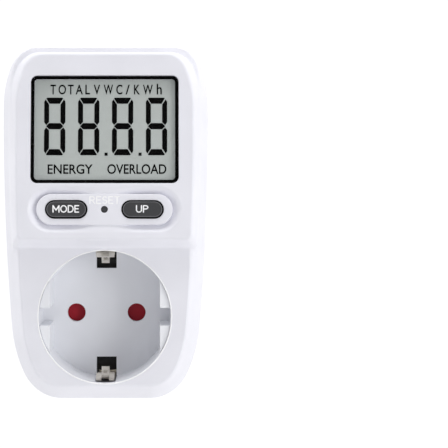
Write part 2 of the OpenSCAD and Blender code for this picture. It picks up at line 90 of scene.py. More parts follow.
# Places of the rear screws on the right half: X and Z
SCREWS = [(24.6, 70), (23.3, 14)]

# ---- outline: arcs that meet on a common tangent, bottom to top ----


def direction(angle):
    return np.array([math.cos(math.radians(angle)), math.sin(math.radians(angle))])


BOTTOM_A, SIDE_A, SHOULDER_A, CORNER_A = 28, 5.4, 0.5, 24.5
BOTTOM_R, BLEND_R, SIDE_R, SHOULDER_R, CORNER_R = 13.4, 34, 600, 26.5, 9
BOTTOM_C = np.array([14, BOTTOM_R - AXIS_H])
BLEND_C = BOTTOM_C + (BOTTOM_R - BLEND_R) * direction(-BOTTOM_A)
SIDE_C = BLEND_C + (BLEND_R - SIDE_R) * direction(-SIDE_A)
SHOULDER_C = SIDE_C + (SIDE_R - SHOULDER_R) * direction(SHOULDER_A)
CORNER_C = SHOULDER_C + (SHOULDER_R - CORNER_R) * direction(CORNER_A)
# What the arcs are scaled by to meet the casing's width and height
FIT_X = BODY_W / 2 / (SIDE_C[0] + SIDE_R)
FIT_Z = BODY_H / (CORNER_C[1] + CORNER_R + AXIS_H)
# Centre, radius, first and last angle, and how many points the mesh has along it
ARCS = [
    (CORNER_C, CORNER_R, CORNER_A, 90, 22),
    (SHOULDER_C, SHOULDER_R, SHOULDER_A, CORNER_A, 12),
    (SIDE_C, SIDE_R, -SIDE_A, SHOULDER_A, 0),
    (BLEND_C, BLEND_R, -BOTTOM_A, -SIDE_A, 9),
    (BOTTOM_C, BOTTOM_R, -90, -BOTTOM_A, 20),
]
# The heights between which the sides have their closest points, for the step under the panel
STEP_LOW, STEP_HIGH = 13.5, 28.5


def half_stations():
    """Places on the right half of the outline, top centre to bottom centre."""
    places = [(CORNER_C, CORNER_R, 90, f) for f in np.linspace(0, 1, 10)[:-1]]
    for centre, radius, low, high, count in ARCS:
        if radius == SIDE_R:
            z_high = SIDE_C[1] + SIDE_R * math.sin(math.radians(high))
            z_low = SIDE_C[1] + SIDE_R * math.sin(math.radians(low))
            zs = np.concatenate([
                np.linspace(z_high, STEP_HIGH, 14)[:-1],
                np.linspace(STEP_HIGH, STEP_LOW, 56)[:-1],
                np.linspace(STEP_LOW, z_low, 8)[:-1]])
            angles = np.degrees(np.arcsin((zs - SIDE_C[1]) / SIDE_R))
        else:
            angles = np.linspace(high, low, count)[:-1]
        places += [(centre, radius, a, 1) for a in angles]
    places += [(BOTTOM_C, BOTTOM_R, -90, f) for f in np.linspace(1, 0, 6)]
    return places


HALF = half_stations()
LOOP = [(p, 1) for p in HALF] + [(p, -1) for p in HALF[-2:0:-1]]
ST_C = np.array([p[0] for p, side in LOOP])
ST_R = np.array([float(p[1]) for p, side in LOOP])
ST_COS = np.array([math.cos(math.radians(p[2])) for p, side in LOOP])
ST_SIN = np.array([math.sin(math.radians(p[2])) for p, side in LOOP])
ST_F = np.array([p[3] * side for p, side in LOOP])


def ring(e, squeeze=0):
    """The outline drawn in by e, with each half moved in by squeeze: X and Z."""
    x = ST_F * (FIT_X * (ST_C[:, 0] + (ST_R - e) * ST_COS) - squeeze)
    z = FIT_Z * (ST_C[:, 1] + (ST_R - e) * ST_SIN + AXIS_H) - AXIS_H
    return x, z


def inside(x, z):
    """How far a point is inside the outline."""
    x = np.abs(x) / FIT_X
    z = (z + AXIS_H) / FIT_Z - AXIS_H
    far = 1e3
    best = np.where(x < CORNER_C[0], CORNER_C[1] + CORNER_R - z, far)
    best = np.minimum(best, np.where(x < BOTTOM_C[0], z + AXIS_H, far))
    for centre, radius, low, high, _ in ARCS:
        dx, dz = x - centre[0], z - centre[1]
        angle = np.degrees(np.arctan2(dz, dx))
        here = (angle >= low - 1e-6) & (angle <= high + 1e-6)
        best = np.minimum(best, np.where(here, radius - np.hypot(dx, dz), far))
    return best


# ---- the front as a solid with rounded edges ----

# Radii of its edges: side to bevel, round the lower face, panel strip to step, panel flank to
# strip, round the panel face, and the fillet where the panel block meets the lower face
BEVEL_R, LOWER_FACE_R, STRIP_R, FLANK_R, PANEL_FACE_R, FOOT_R = 0.12, 0.75, 1.6, 0.15, 0.55, 0.5
# The steep strip round the panel face: how far it falls, how far its top edge is in from the
# outline (across, all round), how much wider it is at its foot, and what makes distances true
STRIP_FALL, STRIP_IN, STRIP_WIDER, STRIP_TRUE = 3.1, (2.5, 2.2), (0.8, 0.7), 0.93
# The bevel under that strip, in the same terms
FLANK_IN, FLANK_TRUE = (1.7, 1.5), 0.92
# The plane that ends the lower solid inside the panel block, and the step's lean
LOWER_TOP_LEAN, LOWER_TOP_TRUE, STEP_LEAN = 2.9, 3.07, 0.6
# Depths that the front's surface is searched between, by halving
NEAREST, FARTHEST, HALVINGS = 14.0, 42.0, 40


def both(a, b, r):
    """The solid common to two solids, with their edge rounded by r."""
    u, v = np.maximum(a + r, 0), np.maximum(b + r, 0)
    return np.minimum(-r, np.maximum(a, b)) + np.hypot(u, v)


def either(a, b, r):
    """Two solids joined, with a fillet of r in the corner between them."""
    u, v = np.maximum(r - a, 0), np.maximum(r - b, 0)
    return np.maximum(r, np.minimum(a, b)) - np.hypot(u, v)


def front_solid(x, depth, z):
    """Below zero inside the front of the casing."""
    y = REAR_Y - depth
    edge = inside(x, z)
    wall = -edge
    slope = FACE_IN / (FACE_DEPTH - BEVEL_DEPTH)
    bevel = ((depth - BEVEL_DEPTH) * slope - edge) / math.hypot(slope, 1)
    lower = both(both(wall, bevel, BEVEL_R), depth - FACE_DEPTH, LOWER_FACE_R)
    top = (z - WINDOW_Z + (depth - FACE_DEPTH) * LOWER_TOP_LEAN) / LOWER_TOP_TRUE
    lower = np.maximum(lower, top)
    # The panel block: its flank, the steep strip, the panel face and the step
    d = (y - PANEL_Y) * math.cos(TILT) - (z - WINDOW_Z) * math.sin(TILT)
    w = (y - PANEL_Y) * math.sin(TILT) + (z - WINDOW_Z) * math.cos(TILT)
    under = np.clip(d / STRIP_FALL, -0.5, 1.5)
    place = inside(np.abs(x) + STRIP_IN[0] - STRIP_WIDER[0] * under, w + WINDOW_Z)
    strip = -(place - STRIP_IN[1] + STRIP_WIDER[1] * under) * STRIP_TRUE
    strip_depth = PANEL_TOP_DEPTH + (PANEL_TOP_Z - z) * math.tan(TILT) - STRIP_FALL
    part = (depth - BEVEL_DEPTH) / (strip_depth - BEVEL_DEPTH)
    flank = -(inside(np.abs(x) + FLANK_IN[0] * part, z) - FLANK_IN[1] * part) * FLANK_TRUE
    step = (STEP_FOOT_Z + (depth - FACE_DEPTH) * STEP_LEAN - z) / math.hypot(STEP_LEAN, 1)
    block = both(both(wall, flank, BEVEL_R), both(strip, step, STRIP_R), FLANK_R)
    block = both(block, -d, PANEL_FACE_R)
    return either(lower, block, FOOT_R)


def front_depth(x, z):
    """How far the front stands from the rear face at each place."""
    low = np.full(np.shape(x), NEAREST)
    high = np.full(np.shape(x), FARTHEST)
    for _ in range(HALVINGS):
        middle = (low + high) / 2
        solid = front_solid(x, middle, z) < 0
        low = np.where(solid, middle, low)
        high = np.where(solid, high, middle)
    return low


# ---- mesh building ----


class Skin:
    """A surface built from loops of points, in millimetres."""

    def __init__(self):
        self.points = []
        self.faces = []

    def add(self, x, y, z):
        start = len(self.points)
        x, y, z = np.broadcast_arrays(np.asarray(x, float), y, z)
        self.points += [tuple(p) for p in np.stack([x, y, z], -1).reshape(-1, 3)]
        return list(range(start, len(self.points)))

    def band(self, a, b, closed=True):
        """Four-sided faces between two loops of the same length."""
        n = len(a)
        for i in range(n if closed else n - 1):
            j = (i + 1) % n
            self.faces.append((a[i], a[j], b[j], b[i]))

    def bands(self, loops, closed=True):
        for a, b in zip(loops, loops[1:]):
            self.band(a, b, closed)

    def fill(self, outer, holes=()):
        """Triangles on a region that has no overhang seen from the front, round its holes."""
        index = list(outer) + [i for hole in holes for i in hole]
        flat = [Vector((self.points[i][0], self.points[i][2])) for i in index]
        edges = []
        start = 0
        for loop in [outer, *holes]:
            n = len(loop)
            edges += [(start + i, start + (i + 1) % n) for i in range(n)]
            start += n
        found = delaunay_2d_cdt(flat, edges, [], 0, 1e-7, True)
        origin = [ids[0] if ids else None for ids in found[3]]
        loops = [np.array([(self.points[i][0], self.points[i][2]) for i in loop])
                 for loop in [outer, *holes]]
        for face in found[2]:
            middle = sum((found[0][i] for i in face), Vector((0, 0))) / len(face)
            if within(loops[0], middle) and not any(within(h, middle) for h in loops[1:]):
                self.faces.append(tuple(index[origin[i]] for i in face))

    def build(self, name, thickness=0, crease=35, weld=True):
        """The finished object: closed to a shell of that thickness, smooth but for creases."""
        mesh = bpy.data.meshes.new(name)
        mesh.from_pydata([tuple(c * MM for c in p) for p in self.points], [], self.faces)
        bm = bmesh.new()
        bm.from_mesh(mesh)
        if weld:
            bmesh.ops.remove_doubles(bm, verts=bm.verts, dist=1e-7)
        bmesh.ops.delete(bm, geom=[v for v in bm.verts if not v.link_faces], context="VERTS")
        bmesh.ops.recalc_face_normals(bm, faces=bm.faces)
        bm.to_mesh(mesh)
        bm.free()
        obj = bpy.data.objects.new(name, mesh)
        SCENE.collection.objects.link(obj)
        if thickness:
            solid = obj.modifiers.new("thickness", "SOLIDIFY")
            solid.thickness = thickness * MM
            solid.offset = -1
        smooth(obj, crease)
        return obj


def within(loop, p):
    """Whether a point is inside a closed loop, by counting crossings."""
    x, z = loop[:, 0], loop[:, 1]
    x2, z2 = np.roll(x, -1), np.roll(z, -1)
    crosses = (z > p[1]) != (z2 > p[1])
    safe = np.where(z2 == z, 1, z2 - z)
    return bool(np.sum(crosses & (p[0] < (x2 - x) * (p[1] - z) / safe + x)) % 2)


def smooth(obj, crease=35):
    """Smooth shading with sharp creases and flats kept flat."""
    mesh = obj.data
    mesh.polygons.foreach_set("use_smooth", [True] * len(mesh.polygons))
    mesh.set_sharp_from_angle(angle=math.radians(crease))
    weighted = obj.modifiers.new("normals", "WEIGHTED_NORMAL")
    weighted.keep_sharp = True
    weighted.weight = 80


def on_panel(x, d, w):
    """Panel place to object place: d goes into the casing, w goes up the panel."""
    x = np.asarray(x, float)
    d, w = np.asarray(d, float), np.asarray(w, float)
    y = PANEL_Y + d * math.cos(TILT) + w * math.sin(TILT)
    z = WINDOW_Z - d * math.sin(TILT) + w * math.cos(TILT)
    return x, y, z


def round_loop(r, count=128):
    a = np.linspace(0, 2 * math.pi, count, endpoint=False)
    return r * np.cos(a), r * np.sin(a)


def pill_loop(w, h, straight=24, end=32):
    """A pill's edge. The same counts give loops that pair up point by point."""
    half = (w - h) / 2
    a = np.linspace(-math.pi / 2, math.pi / 2, end, endpoint=False)
    across = np.linspace(half, -half, straight, endpoint=False)
    x = np.concatenate([half + h / 2 * np.cos(a), across, -half - h / 2 * np.cos(a), -across])
    z = np.concatenate([h / 2 * np.sin(a), np.full(straight, h / 2),
                        -h / 2 * np.sin(a), np.full(straight, -h / 2)])
    return x, z


def rounded_loop(w, h, r, end=10, straight=8):
    """A rectangle's edge with rounded corners, evenly numbered for pairing."""
    x, z = [], []
    corners = [(1, 1, 0), (-1, 1, 90), (-1, -1, 180), (1, -1, 270)]
    for i, (sx, sz, start) in enumerate(corners):
        cx, cz = sx * (w / 2 - r), sz * (h / 2 - r)
        for a in np.linspace(start, start + 90, end):
            x.append(cx + r * math.cos(math.radians(a)))
            z.append(cz + r * math.sin(math.radians(a)))
        nx, nz = corners[(i + 1) % 4][:2]
        a = math.radians(start + 90)
        x1, z1 = cx + r * math.cos(a), cz + r * math.sin(a)
        x2, z2 = nx * (w / 2 - r) + r * math.cos(a), nz * (h / 2 - r) + r * math.sin(a)
        for f in np.linspace(0, 1, straight)[1:-1]:
            x.append(x1 + (x2 - x1) * f)
            z.append(z1 + (z2 - z1) * f)
    return np.array(x), np.array(z)


def quarter(r, count=6):
    """A quarter round as pairs of (how far out from the hole, how deep)."""
    a = np.linspace(0, math.pi / 2, count)
    return [(r * (1 - math.sin(t)), r * (1 - math.cos(t))) for t in a]


# The small round on the edges of the panel's openings
EDGE_ROUND = quarter(0.15, 4)

# ---- front shell ----


def ease(low, high, value):
    t = np.clip((value - low) / (high - low), 0, 1)
    return t * t * (3 - 2 * t)


# How the loops of the front's sides go in from the seam (0) to the flat faces (1): the upper
# part's loops are drawn in by UPPER_E and moved in by UPPER_SQUEEZE, the lower part's by LOWER_E
RING_AT = [0, 0.42, 0.62, 1]
UPPER_E = [0.004, 1.5, 2.2, 3.5]
UPPER_SQUEEZE = [0, 1.7, 2.5, 3.4]
LOWER_E = [0.004, 2.98, 4.4, 4.75]
# The rounded edge at the seam: in from the outline, and away from the seam
SEAM_EDGE = [(0.35, 0), (0.1, 0.08), (0, 0.35)]
RINGS = [0, 0.015, 0.04, 0.08, 0.13, 0.19, 0.25, 0.31, 0.36, 0.39, 0.41, 0.425, 0.44, 0.46,
         0.485, 0.51, 0.535, 0.56, 0.58, 0.6, 0.62, 0.64, 0.66, 0.685, 0.71, 0.74, 0.78, 0.83,
         0.88, 0.94, 1]


def border_rings(skin):
    """The sides and the bevels, from the seam to the flat faces."""
    side_x, side_z = ring(0)
    upper = ease(15, 27, side_z)
    loops = []
    for q in RINGS:
        e = (1 - upper) * np.interp(q, RING_AT, LOWER_E) + upper * np.interp(q, RING_AT, UPPER_E)
        x, z = ring(e, upper * np.interp(q, RING_AT, UPPER_SQUEEZE))
        loops.append((x, front_depth(x, z), z))
    seam = SEAM_DEPTH + SEAM_GAP / 2
    indexed = []
    for e, away in SEAM_EDGE:
        x, z = ring(e)
        indexed.append(skin.add(x, REAR_Y - seam - away, z))
    side = loops[0][1] - seam - away
    indexed += [skin.add(side_x, REAR_Y - seam - away - side * f, side_z) for f in (0.4, 0.9)]
    indexed += [skin.add(x, REAR_Y - depth, z) for x, depth, z in loops]
    skin.bands(indexed)
    return indexed[-1]


def step_rows(skin, inner):
    """The step under the panel: rows that join the inner ends of the two sides."""
    z = np.array([skin.points[i][2] for i in inner])
    half = len(inner) // 2
    lowest, highest = RECESS_R + 0.36, 25
    right = [i for i in range(half) if lowest < z[i] < highest]
    rows = []
    for i in right:
        left = (len(inner) - i) % len(inner)
        x, _, row_z = skin.points[inner[i]]
        # Closer near the ends, where the sides' bevels meet the step
        across = np.concatenate([[x - 0.4, x - 0.9, x - 1.7],
                                 np.linspace(x - 3, 3 - x, 17), [1.7 - x, 0.9 - x, 0.4 - x]])
        zs = np.full(len(across), row_z)
        middle = skin.add(across, REAR_Y - front_depth(across, zs), zs)
        rows.append([inner[i], *middle, inner[left]])
    skin.bands(rows, closed=False)
    return right, rows


def recess_rim(skin):
    """The rounded edge of the socket's round opening, and its wall."""
    loops = []
    for out, deep in quarter(0.3) + [(0, 1.9)]:
        x, z = round_loop(RECESS_R + out)
        loops.append(skin.add(x, REAR_Y - FACE_DEPTH + deep, z))
    skin.bands(loops)
    return loops[0]


def window_pocket(skin):
    """The pocket that the window sits in, and the opening under it."""
    loops = []

    def around(grow, corner, deep):
        x, w = rounded_loop(WINDOW_W + 2 * grow, WINDOW_H + 2 * grow, corner)
        loops.append(skin.add(*on_panel(x, deep, w)))

    for out, deep in EDGE_ROUND + [(0, 1.08)]:
        around(out, 2 + out, deep)
    for w_in, deep in [(0.15, 1.1), (BORDER - 0.1, 1.1), (BORDER, 1.2), (BORDER, 1.9)]:
        around(-w_in, 0.9, deep)
    skin.bands(loops)
    return loops[0]


def trough(skin):
    """The trough round the keys and the pad inside it: outer edge, then cove, then wall."""
    outer_w, outer_h, pad_w, pad_h, pad_round = 46.3, 13.9, 41.1, 9.3, 0.28
    reset_hole_r, hole_deep = 1.05, 1.6

    def place(w, h, deep):
        """One loop of the trough, which is shallow above and below the reset key."""
        x, up = pill_loop(w, h)
        shallow = 0.16 + 0.84 * ease(2, 11, np.abs(x))
        return skin.add(*on_panel(x, deep * shallow, up + KEY_UP))

    # Pairs of (0 at the trough's outer edge to 1 at the foot of the pad, depth)
    cove = [(-0.1, 0), (-0.05, 0.01), (-0.01, 0.035), (0.03, 0.075), (0.07, 0.12)]
    cove += [(u, 0.12 + 2.05 * max(u - 0.06, 0) ** 1.2) for u in np.linspace(0.13, 0.95, 12)]
    cove += [(0.98, 1.8), (1.0, 1.76), (1.0, 1.0), (1.0, 0.36)]
    loops = [place(outer_w + (pad_w - outer_w) * u, outer_h + (pad_h - outer_h) * u, deep)
             for u, deep in cove]
    loops += [place(pad_w - 2 * out, pad_h - 2 * out, deep)
              for out, deep in reversed(quarter(pad_round))]
    skin.bands(loops)
    holes = []
    for sx in (-1, 1, 0):
        rim = []
        for out, deep in EDGE_ROUND + [(0, hole_deep)]:
            reach = KEY_GAP + out
            x, up = (pill_loop(KEY_W + 2 * reach, KEY_H + 2 * reach) if sx
                     else round_loop(reset_hole_r + out, 48))
            rim.append(skin.add(*on_panel(x + sx * KEY_PITCH / 2, deep, up + KEY_UP)))
        skin.bands(rim)
        holes.append(rim[0])
    skin.fill(loops[-1], holes)
    return loops[0]


def front_shell():
    skin = Skin()
    inner = border_rings(skin)
    right, rows = step_rows(skin, inner)
    n = len(inner)
    low, high = right[-1], right[0]
    lower_face = inner[low + 1:n - low] + rows[-1][::-1]
    upper_face = inner[n - high + 1:] + inner[:high] + rows[0]
    skin.fill(lower_face, [recess_rim(skin)])
    skin.fill(upper_face, [window_pocket(skin), trough(skin)])
    return skin.build("front_casing", 1.0, 75)


# ---- rear shell ----


def rounded_path(path, radius, count=5):
    """A path with each of its corners rounded, but not its ends."""
    path = [np.array(p, float) for p in path]
    done = [path[0]]
    for a, b, c in zip(path, path[1:], path[2:]):
        into, out = (a - b) / np.linalg.norm(a - b), (c - b) / np.linalg.norm(c - b)
        for t in np.linspace(0, 1, count):
            done.append((1 - t) ** 2 * (b + into * radius) + 2 * t * (1 - t) * b
                        + t ** 2 * (b + out * radius))
    return done + [path[-1]]


def rear_shell():
    skin = Skin()
    seam = SEAM_DEPTH - SEAM_GAP / 2
    path = [(seam - away, e) for e, away in SEAM_EDGE] + [(12, 0)]
    path += rounded_path([(8, 0), (3.8, 0), (0, 3), (0, 3.72)], 0.6)
    loops = []
    for depth, e in path:
        x, z = ring(e)
        loops.append(skin.add(x, REAR_Y - depth, z + 0.65 * min(e / 3, 1)))
    skin.bands(loops)
    edge = quarter(0.25, 4)
    plug_hole = edge + [(0, 1.9)]
    screw_hole = edge + [(0, 2.9), (-0.15, 3), (-1.0, 3), (-1.1, 3.1)]
    places = [(0, 0, PLUG_R + 0.1, 128, plug_hole)]
    places += [(sx * x, z, 2.6, 40, screw_hole) for sx in (-1, 1) for x, z in SCREWS]
    holes = []
    for at_x, at_z, radius, count, profile in places:
        rim = []
        for out, deep in profile:
            x, z = round_loop(radius + out, count)
            rim.append(skin.add(x + at_x, REAR_Y - deep, z + at_z))
        skin.bands(rim)
        holes.append(rim[0])
    skin.fill(loops[-1], holes)
    return skin.build("rear_casing", 1.2)


# ---- copies of CAD nodes with softened edges ----


def softened(node, name, width):
    """A copy of a CAD node with its sharp edges rounded off by width."""
    crease, nearly_flat = 35, math.radians(0.6)
    mesh = frame["nodes"][node].data.copy()
    bm = bmesh.new()
    bm.from_mesh(mesh)
    bmesh.ops.remove_doubles(bm, verts=bm.verts, dist=2e-6)
    bmesh.ops.dissolve_limit(bm, angle_limit=nearly_flat, verts=bm.verts, edges=bm.edges)
    bmesh.ops.recalc_face_normals(bm, faces=bm.faces)
    bm.to_mesh(mesh)
    bm.free()
    mesh.materials.clear()
    obj = bpy.data.objects.new(name, mesh)
    SCENE.collection.objects.link(obj)
    bevel = obj.modifiers.new("edges", "BEVEL")
    bevel.width = width * MM
    bevel.segments = 3
    bevel.limit_method = "ANGLE"
    bevel.angle_limit = math.radians(crease)
    bevel.use_clamp_overlap = True
    smooth(obj, crease)
    return obj


def lathe(name, profile, at):
    """A turned piece about the line along Y at that X: profile is pairs of (place on Y, radius)."""
    skin = Skin()
    loops = []
    for y, r in profile:
        x, z = round_loop(r, 64)
        loops.append(skin.add(x + at, y, z))
    skin.bands(loops)
    skin.faces.append(tuple(loops[0]))
    skin.faces.append(tuple(loops[-1][::-1]))
    return skin.build(name)


def tube(name, profile):
    """A ring about the socket's axis: profile is a closed chain of (place on Y, radius)."""
    skin = Skin()
    loops = []
    for y, r in profile:
        x, z = round_loop(r, 160)
        loops.append(skin.add(x, y, z))
    skin.bands(loops + [loops[0]])
    return skin.build(name, crease=80)


def nose(y, r, out, count=8):
    """The rounded end of a turned piece: an ellipse from radius r at y, out long."""
    a = np.linspace(0, math.pi / 2, count)
    return [(y + out * math.sin(t), r * math.cos(t)) for t in a[:-1]] + [(y + out, r * 0.08)]


# ---- display, lettering and keys ----

# Places on the surfaces that carry print. x is across, w up the panel, and t goes from 0 on the
# surface to 1 on top of the print


def on_glass(x, t, w):
    return on_panel(x, 2.09 - 0.03 * t, w)


def on_key(x, t, w):
    return on_panel(x, -0.475 - 0.04 * t, w + KEY_UP)


def on_pad(x, t, w):
    return on_panel(x, 0.01 - 0.06 * t, w + KEY_UP)


def raise_shape(skin, shape, place, level=1):
    """Adds a flat closed shape, a list of (x, w), as high as level."""
    x, w = np.array(shape).T
    back, top = skin.add(*place(x, 0, w)), skin.add(*place(x, level, w))
    skin.band(back, top)
    skin.faces += [tuple(back), tuple(top[::-1])]


def solid_shapes(name, shapes, place):
    """Flat closed shapes as one raised mesh."""
    skin = Skin()
    for shape in shapes:
        raise_shape(skin, shape, place)
    return skin.build(name)


FIGURE_W, FIGURE_H, FIGURE_BASE, FIGURE_PITCH = 6.46, 17.66, -7.76, 10.32


def digit_segments(x0, w0):
    """The seven bars of one figure, chamfered at the ends, with fine gaps between them."""
    width, height = FIGURE_W, FIGURE_H
    middle = 0.504 * height
    lower = [(0, 1.25), (0.45, 0.55), (1.5, 2.15), (1.5, middle - 1.25), (0.62, middle - 0.38),
             (0, middle - 1.25)]
    upper = [(x, height - w + 0.01) for x, w in lower[:3]]
    upper += [(x, 2 * middle - w) for x, w in lower[3:]]
    flat = [(0.6, 0.3), (0.85, 0), (width - 0.95, 0), (width - 0.72, 0.25), (width - 1.7, 1.87),
            (1.6, 1.87)]
    bar = [(0.6, middle), (1.5, middle + 0.94), (width - 1.5, middle + 0.94),
           (width - 0.6, middle), (width - 1.5, middle - 0.94), (1.5, middle - 0.94)]
    bars = [lower, [(width - x, w) for x, w in lower], upper,
            [(width - x, w) for x, w in upper], flat, [(x, height - w) for x, w in flat], bar]
    return [[(x0 + x, w0 + w) for x, w in shape] for shape in bars]


def lettering(name, words, place, bold):
    """Words as one raised mesh. Each word is (text, centre x, base, width, height)."""
    skin = Skin()
    for text, centre, base, width, height in words:
        curve = bpy.data.curves.new(name, "FONT")
        curve.body = text
        curve.extrude = 0.5
        curve.offset = bold
        curve.resolution_u = 6
        obj = bpy.data.objects.new(name, curve)
        SCENE.collection.objects.link(obj)
        bpy.context.view_layer.update()
        mesh = bpy.data.meshes.new_from_object(
            obj.evaluated_get(bpy.context.evaluated_depsgraph_get()))
        co = np.array([v.co for v in mesh.vertices])
        low, high = co.min(0), co.max(0)
        tall = height / (high[1] - low[1])
        wide = width / (high[0] - low[0])
        x = centre + (co[:, 0] - (low[0] + high[0]) / 2) * wide
        w = base + (co[:, 1] - low[1]) * tall
        # A letter is 1 thick, from -0.5 to 0.5 along its own Z
        index = skin.add(*place(x, 0.5 - co[:, 2], w))
        skin.faces += [tuple(index[i] for i in f.vertices) for f in mesh.polygons]
        bpy.data.objects.remove(obj)
    return skin.build(name)


def bend(cx, cz, rx, rz, start, end, count=10):
    """Points along part of an ellipse, angles in degrees."""
    return [(cx + rx * math.cos(math.radians(a)), cz + rz * math.sin(math.radians(a)))
            for a in np.linspace(start, end, count)]


# Letters as pen strokes in a box one high: width, then chains of points, and the space between
# two letters
BOWL = [(0, 0), (0, 1), (0.3, 1)] + bend(0.3, 0.74, 0.28, 0.26, 90, -90) + [(0, 0.48)]
LETTERS = {
    "M": (0.86, [[(0, 0), (0, 1), (0.43, 0.3), (0.86, 1), (0.86, 0)]]),
    "O": (0.82, [bend(0.41, 0.5, 0.41, 0.5, 0, 360, 25)]),
    "D": (0.7, [[(0, 0), (0, 1), (0.28, 1)] + bend(0.28, 0.5, 0.42, 0.5, 90, -90, 13)
                + [(0, 0)]]),
    "E": (0.52, [[(0.52, 1), (0, 1), (0, 0), (0.52, 0)], [(0, 0.52), (0.47, 0.52)]]),
    "U": (0.66, [[(0, 1), (0, 0.33)] + bend(0.33, 0.33, 0.33, 0.33, 180, 360) + [(0.66, 1)]]),
    "P": (0.58, [BOWL]),
    "R": (0.62, [BOWL, [(0.3, 0.48), (0.62, 0)]]),
    "S": (0.54, [bend(0.28, 0.74, 0.25, 0.26, 40, 250) + bend(0.26, 0.25, 0.28, 0.25, 80, -140)]),
    "T": (0.62, [[(0, 1), (0.62, 1)], [(0.31, 1), (0.31, 0)]]),
}
LETTER_SPACE = 0.26


def strokes(name, word, left, width, base, height, pen, place):
    """A word drawn with a round pen and slightly raised, from its left edge and its base."""
    skin = Skin()

    def solid(outline):
        # The tops are staggered, so that no two crossing strokes share a plane
        raise_shape(skin, outline, place, 1 - 0.08 * (len(skin.faces) % 5))

    total = sum(LETTERS[c][0] for c in word) + LETTER_SPACE * (len(word) - 1)
    unit = (width - pen) / total
    at = left + pen / 2
    for c in word:
        advance, chains = LETTERS[c]
        for chain in chains:
            points = [np.array([at + x * unit, base + pen / 2 + z * (height - pen)])
                      for x, z in chain]
            for a, b in zip(points, points[1:]):
                length = np.linalg.norm(b - a)
                # Two chains of points can meet in one place, and that stroke has no direction
                if length < 0.01:
                    continue
                along = (b - a) / length * pen / 2
                aside = np.array([-along[1], along[0]])
                solid([a - aside, b - aside, b + aside, a + aside])
            for p in points:
                x, w = round_loop(pen / 2, 12)
                solid(list(zip(p[0] + x, p[1] + w)))
        at += (advance + LETTER_SPACE) * unit
    return skin.build(name, weld=False)


def key_rings(name, sx, profile, crease=50, closed=False):
    """Pill loops about a long key: profile is pairs of (depth, inset from the cap's side)."""
    skin = Skin()
    loops = []
    for d, inset in profile:
        x, up = pill_loop(KEY_W - 2 * inset, KEY_H - 2 * inset)
        loops.append(skin.add(*on_panel(x + sx * KEY_PITCH / 2, d, up + KEY_UP)))
    skin.bands(loops + loops[:1] if closed else loops)
    if not closed:
        skin.fill(loops[-1])
        skin.fill(loops[0])
    return skin.build(name, crease=crease)


# Pairs of depth and inset: a key's cap with its flange, a near-black ring down the gap round it
# that is painted shade, and a fine bead round its top whose lighter grey is a painted highlight
CAP = [(3.2, -1.1), (2.25, -1.1), (2.2, 0), (0.6, 0), (0, 0), (-0.25, 0), (-0.36, 0.02),
       (-0.43, 0.07), (-0.47, 0.14), (-0.485, 0.24), (-0.485, 0.4), (-0.485, 1.1), (-0.485, 1.9)]
GAP_SHADE_RING = [(2.15, -0.05), (2.1, -0.05), (2.1, -0.3), (0.5, -0.3), (0.4, -0.34), (0.4, -0.42),
         (2.15, -0.42)]
EDGE = [(-0.46, 0.1), (-0.52, 0.13), (-0.53, 0.18), (-0.52, 0.23), (-0.46, 0.26)]


# ---- pieces ----

pieces = []


def piece(obj, body, slot, *nodes):
    """Declares a finished piece: the body it rides on, its slot, and the CAD nodes it replaces."""
    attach(obj, body)
    if nodes:
        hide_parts(*nodes)
    pieces.append((obj, slot))


piece(front_shell(), "housing", "casing_white", "front_shell")
piece(rear_shell(), "housing", "casing_white", "rear_shell")
piece(softened("socket_insert", "socket_body", 0.45), "housing", "socket_white", "socket_insert")
piece(softened("plug_insert", "plug_body", 0.3), "housing", "plug_white", "plug_insert")
PIN = [(-12.8, PIN_ROOT_R), (-0.3, PIN_ROOT_R), (-0.15, PIN_R), (PIN_END_Y, PIN_R)]
PIN += nose(PIN_END_Y, PIN_R, 2.29)
for side, word in ((1, "live"), (-1, "neutral")):
    piece(lathe("plug_pin_" + word, PIN, side * PIN_X), "housing", "pin_nickel", "pin_" + word)

# The bright ring's section: place on Y, and radius. The ring is the socket insert's rim; its
# white, whiter than the insert's, is a painted highlight
RIM = [(-51.5, 20.12), (-53.25, 20.12), (-53.38, 20.18), (-53.42, 20.32), (-53.38, 20.46),
       (-53.25, 20.52), (-51.5, 20.52)]
piece(tube("recess_ring", RIM), "housing", "socket_white")

FIGURES_X = [-18.46 + FIGURE_PITCH * i for i in range(4)]
bars = [bar for x in FIGURES_X for bar in digit_segments(x, FIGURE_BASE)]
# The decimal points after the second and third figures
for left in FIGURES_X[1:3]:
    x = left + FIGURE_W + 1.62
    bars.append([(x, -7.9), (x + 0.94, -7.9), (x + 0.94, -6.95), (x, -6.95)])
piece(solid_shapes("display_figures", bars, on_glass), "housing", "mask_black")
# The top line of the display: letter, centre and width
TOP_LETTERS = [("T", -15.78, 1.7), ("O", -13.0, 2.3), ("T", -10.42, 1.79), ("A", -7.82, 2.21),
               ("L", -5.25, 1.43), ("V", -2.44, 1.97), ("W", 1.05, 2.84), ("C", 4.4, 1.85),
               ("/", 6.94, 1.25), ("K", 9.75, 1.79), ("W", 13.09, 2.99), ("h", 16.56, 1.55)]
legends = [(letter, x, 10.9, w, 3.3 if letter == "h" else 3) for letter, x, w in TOP_LETTERS]
legends += [("ENERGY", -10.48, -13.47, 13.68, 2.95), ("OVERLOAD", 9.75, -13.47, 17.92, 3)]
piece(lettering("display_legends", legends, on_glass, 0.014), "housing", "mask_black")
for side, word in ((-1, "mode"), (1, "up")):
    body = word + "_key"
    piece(key_rings(body + "_cap", side, CAP), body, "key_grey", "button_" + word)
    # The near-black ring down the gap round the key is painted shade
    piece(key_rings(body + "_skirt", side, GAP_SHADE_RING, 30, True), body, "carbon_rubber")
    # The lighter grey bead round the key's top is a painted highlight
    piece(key_rings(body + "_edge", side, EDGE, 80, True), body, "key_grey")
